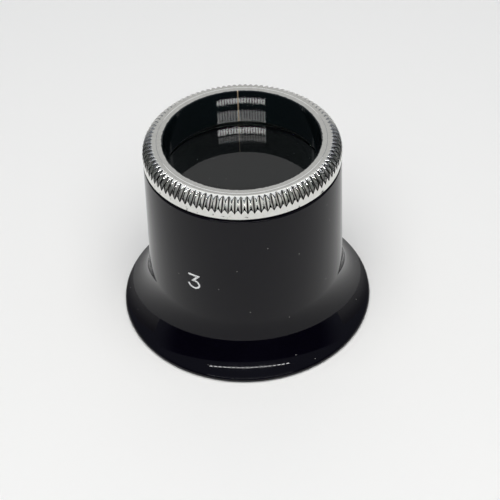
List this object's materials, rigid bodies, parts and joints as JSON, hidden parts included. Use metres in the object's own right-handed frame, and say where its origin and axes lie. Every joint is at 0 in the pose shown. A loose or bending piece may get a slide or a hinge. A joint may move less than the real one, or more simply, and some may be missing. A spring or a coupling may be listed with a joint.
{
  "type": "watchmaker loupe",
  "caption": "Eye loupe: a flared gloss-black eyecup with a plano-convex lens on a shoulder in its tube, held by a knurled chrome ring that unscrews.",
  "frame": {"origin": "on the loupe's axis, on the flat underside of the eye rim", "axes": "+Z along the optical axis from the eye rim to the knurled ring; X and Y lie in the plane of the rim, and the printed numeral faces -Y and a little to -X"},
  "size_m": [0.037, 0.037, 0.0291],
  "materials": {
    "black_moulding": "polished moulding, gloss black with a faint blue cast",
    "crown_glass": "polished clear glass",
    "chrome_plate": "bright plate over turned and knurled brass, bore painted black",
    "white_print": "thin white printed numeral"
  },
  "bodies": {
    "eyecup": {"eyecup_body": "black_moulding"},
    "lens": {"lens": "crown_glass"},
    "ring": {"knurled_ring": "chrome_plate"}
  },
  "joints": [
    {"name": "ring_turn", "type": "hinge", "parent": "eyecup", "child": "lens", "pos_m": [0, 0, 0.0236], "axis": [0, 0, 1], "range_deg": [0, 810]},
    {"name": "ring_rise", "type": "slide", "parent": "lens", "child": "ring", "axis": [0, 0, 1], "range_m": [0, 0.0017]}
  ],
  "couplings": [
    {"joint": "ring_rise", "follows": "ring_turn", "m_per_rad": 0.00011937}
  ]
}
